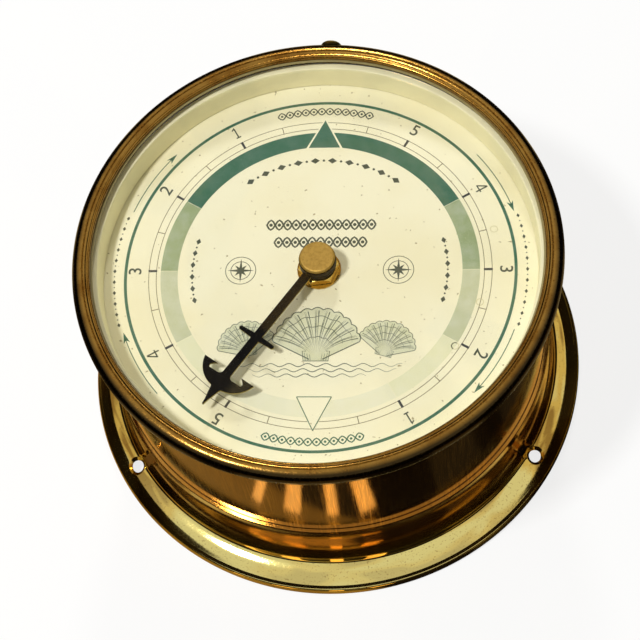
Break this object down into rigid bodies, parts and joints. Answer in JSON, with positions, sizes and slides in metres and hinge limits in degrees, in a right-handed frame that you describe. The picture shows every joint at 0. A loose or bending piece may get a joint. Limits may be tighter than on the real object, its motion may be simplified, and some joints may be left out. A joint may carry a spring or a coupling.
{
  "type": "wall tide clock",
  "caption": "Quartz tide clock in a polished brass ship's case with a screw-down flange, a cream dial and a black anchor hand.",
  "frame": {"origin": "centre of the flange's foot, on the surface that the clock lies on or the wall it hangs on", "axes": "+Z out of the dial along the hand's axis, +Y towards the twelve o'clock mark, +X towards three o'clock"},
  "size_m": [0.18, 0.18, 0.092],
  "materials": {
    "polished_brass": "polished and lacquered",
    "brushed_brass": "spun, finely brushed",
    "dial_print": "satin cream with green and grey print",
    "cream_paint": "satin",
    "clear_glass": "clear flat glass",
    "gasket_rubber": "matt",
    "black_enamel": "satin black",
    "housing_plastic": "fine matt",
    "gear_plastic": "moulded",
    "steel_parts": "plain",
    "copper_wire": "enamelled wire",
    "board_laminate": "solder mask",
    "cell_jacket": "plain shrink jacket"
  },
  "bodies": {
    "case": {"base_flange": "polished_brass", "case_drum": "brushed_brass", "dial_seat_ring": "brushed_brass", "dial_plate": "dial_print", "movement_case": "housing_plastic", "movement_cover": "housing_plastic", "threaded_bush": "polished_brass", "rubber_washer": "gasket_rubber", "dial_washer": "polished_brass", "hex_nut": "polished_brass", "circuit_board": "board_laminate", "chip_seal": "housing_plastic", "quartz_crystal": "steel_parts", "coil_bobbin": "gear_plastic", "coil_winding": "copper_wire", "coil_core": "steel_parts", "stator_plate": "steel_parts", "motion_arbor": "steel_parts", "third_arbor": "steel_parts", "fast_arbor": "steel_parts", "rotor_arbor": "steel_parts", "positive_contact": "steel_parts", "negative_contact": "steel_parts"},
    "bezel": {"bezel_ring": "polished_brass", "bezel_nub": "polished_brass", "glass_gasket": "gasket_rubber", "glass_lens": "clear_glass", "rehaut_ring": "cream_paint"},
    "hand": {"tide_wheel": "gear_plastic", "anchor_hand": "black_enamel", "hand_cap": "polished_brass"},
    "motion": {"intermediate_wheel": "gear_plastic"},
    "setting": {"centre_arbor": "steel_parts", "set_wheel": "gear_plastic"},
    "centre": {"centre_wheel": "gear_plastic"},
    "third": {"third_wheel": "gear_plastic"},
    "fast": {"fast_wheel": "gear_plastic"},
    "rotor": {"rotor_pinion": "gear_plastic", "rotor_magnet": "steel_parts"},
    "cell": {"battery_cell": "cell_jacket"}
  },
  "joints": [
    {"name": "hand_turn", "type": "hinge", "parent": "case", "child": "hand", "pos_m": [0, 0, 0.0823], "axis": [0, 0, -1], "continuous": true},
    {"name": "motion_turn", "type": "hinge", "parent": "case", "child": "motion", "pos_m": [-0.01109, 0.0064, 0.0679], "axis": [0, 0, -1], "continuous": true},
    {"name": "set_turn", "type": "hinge", "parent": "case", "child": "setting", "pos_m": [0, 0, 0.0553], "axis": [0, 0, -1], "continuous": true},
    {"name": "rotor_spin", "type": "hinge", "parent": "case", "child": "rotor", "pos_m": [-0.01546, 0.01843, 0.0633], "axis": [0, 0, -1], "continuous": true},
    {"name": "fast_turn", "type": "hinge", "parent": "case", "child": "fast", "pos_m": [-0.00286, 0.01621, 0.0605], "axis": [0, 0, -1], "continuous": true},
    {"name": "third_turn", "type": "hinge", "parent": "case", "child": "third", "pos_m": [0.00823, 0.00981, 0.0629], "axis": [0, 0, -1], "continuous": true},
    {"name": "centre_turn", "type": "hinge", "parent": "case", "child": "centre", "pos_m": [0, 0, 0.0654], "axis": [0, 0, -1], "continuous": true},
    {"name": "bezel_lift", "type": "slide", "parent": "case", "child": "bezel", "axis": [0, 0, 1], "range_m": [0, 0.03]},
    {"name": "battery_slide", "type": "slide", "parent": "case", "child": "cell", "axis": [0, 0, -1], "range_m": [0, 0.03]}
  ],
  "couplings": [
    {"joint": "motion_turn", "follows": "hand_turn", "ratio": -3},
    {"joint": "set_turn", "follows": "hand_turn", "ratio": 9},
    {"joint": "fast_turn", "follows": "rotor_spin", "ratio": -0.33333},
    {"joint": "third_turn", "follows": "rotor_spin", "ratio": 0.11111},
    {"joint": "centre_turn", "follows": "rotor_spin", "ratio": -0.037037}
  ]
}
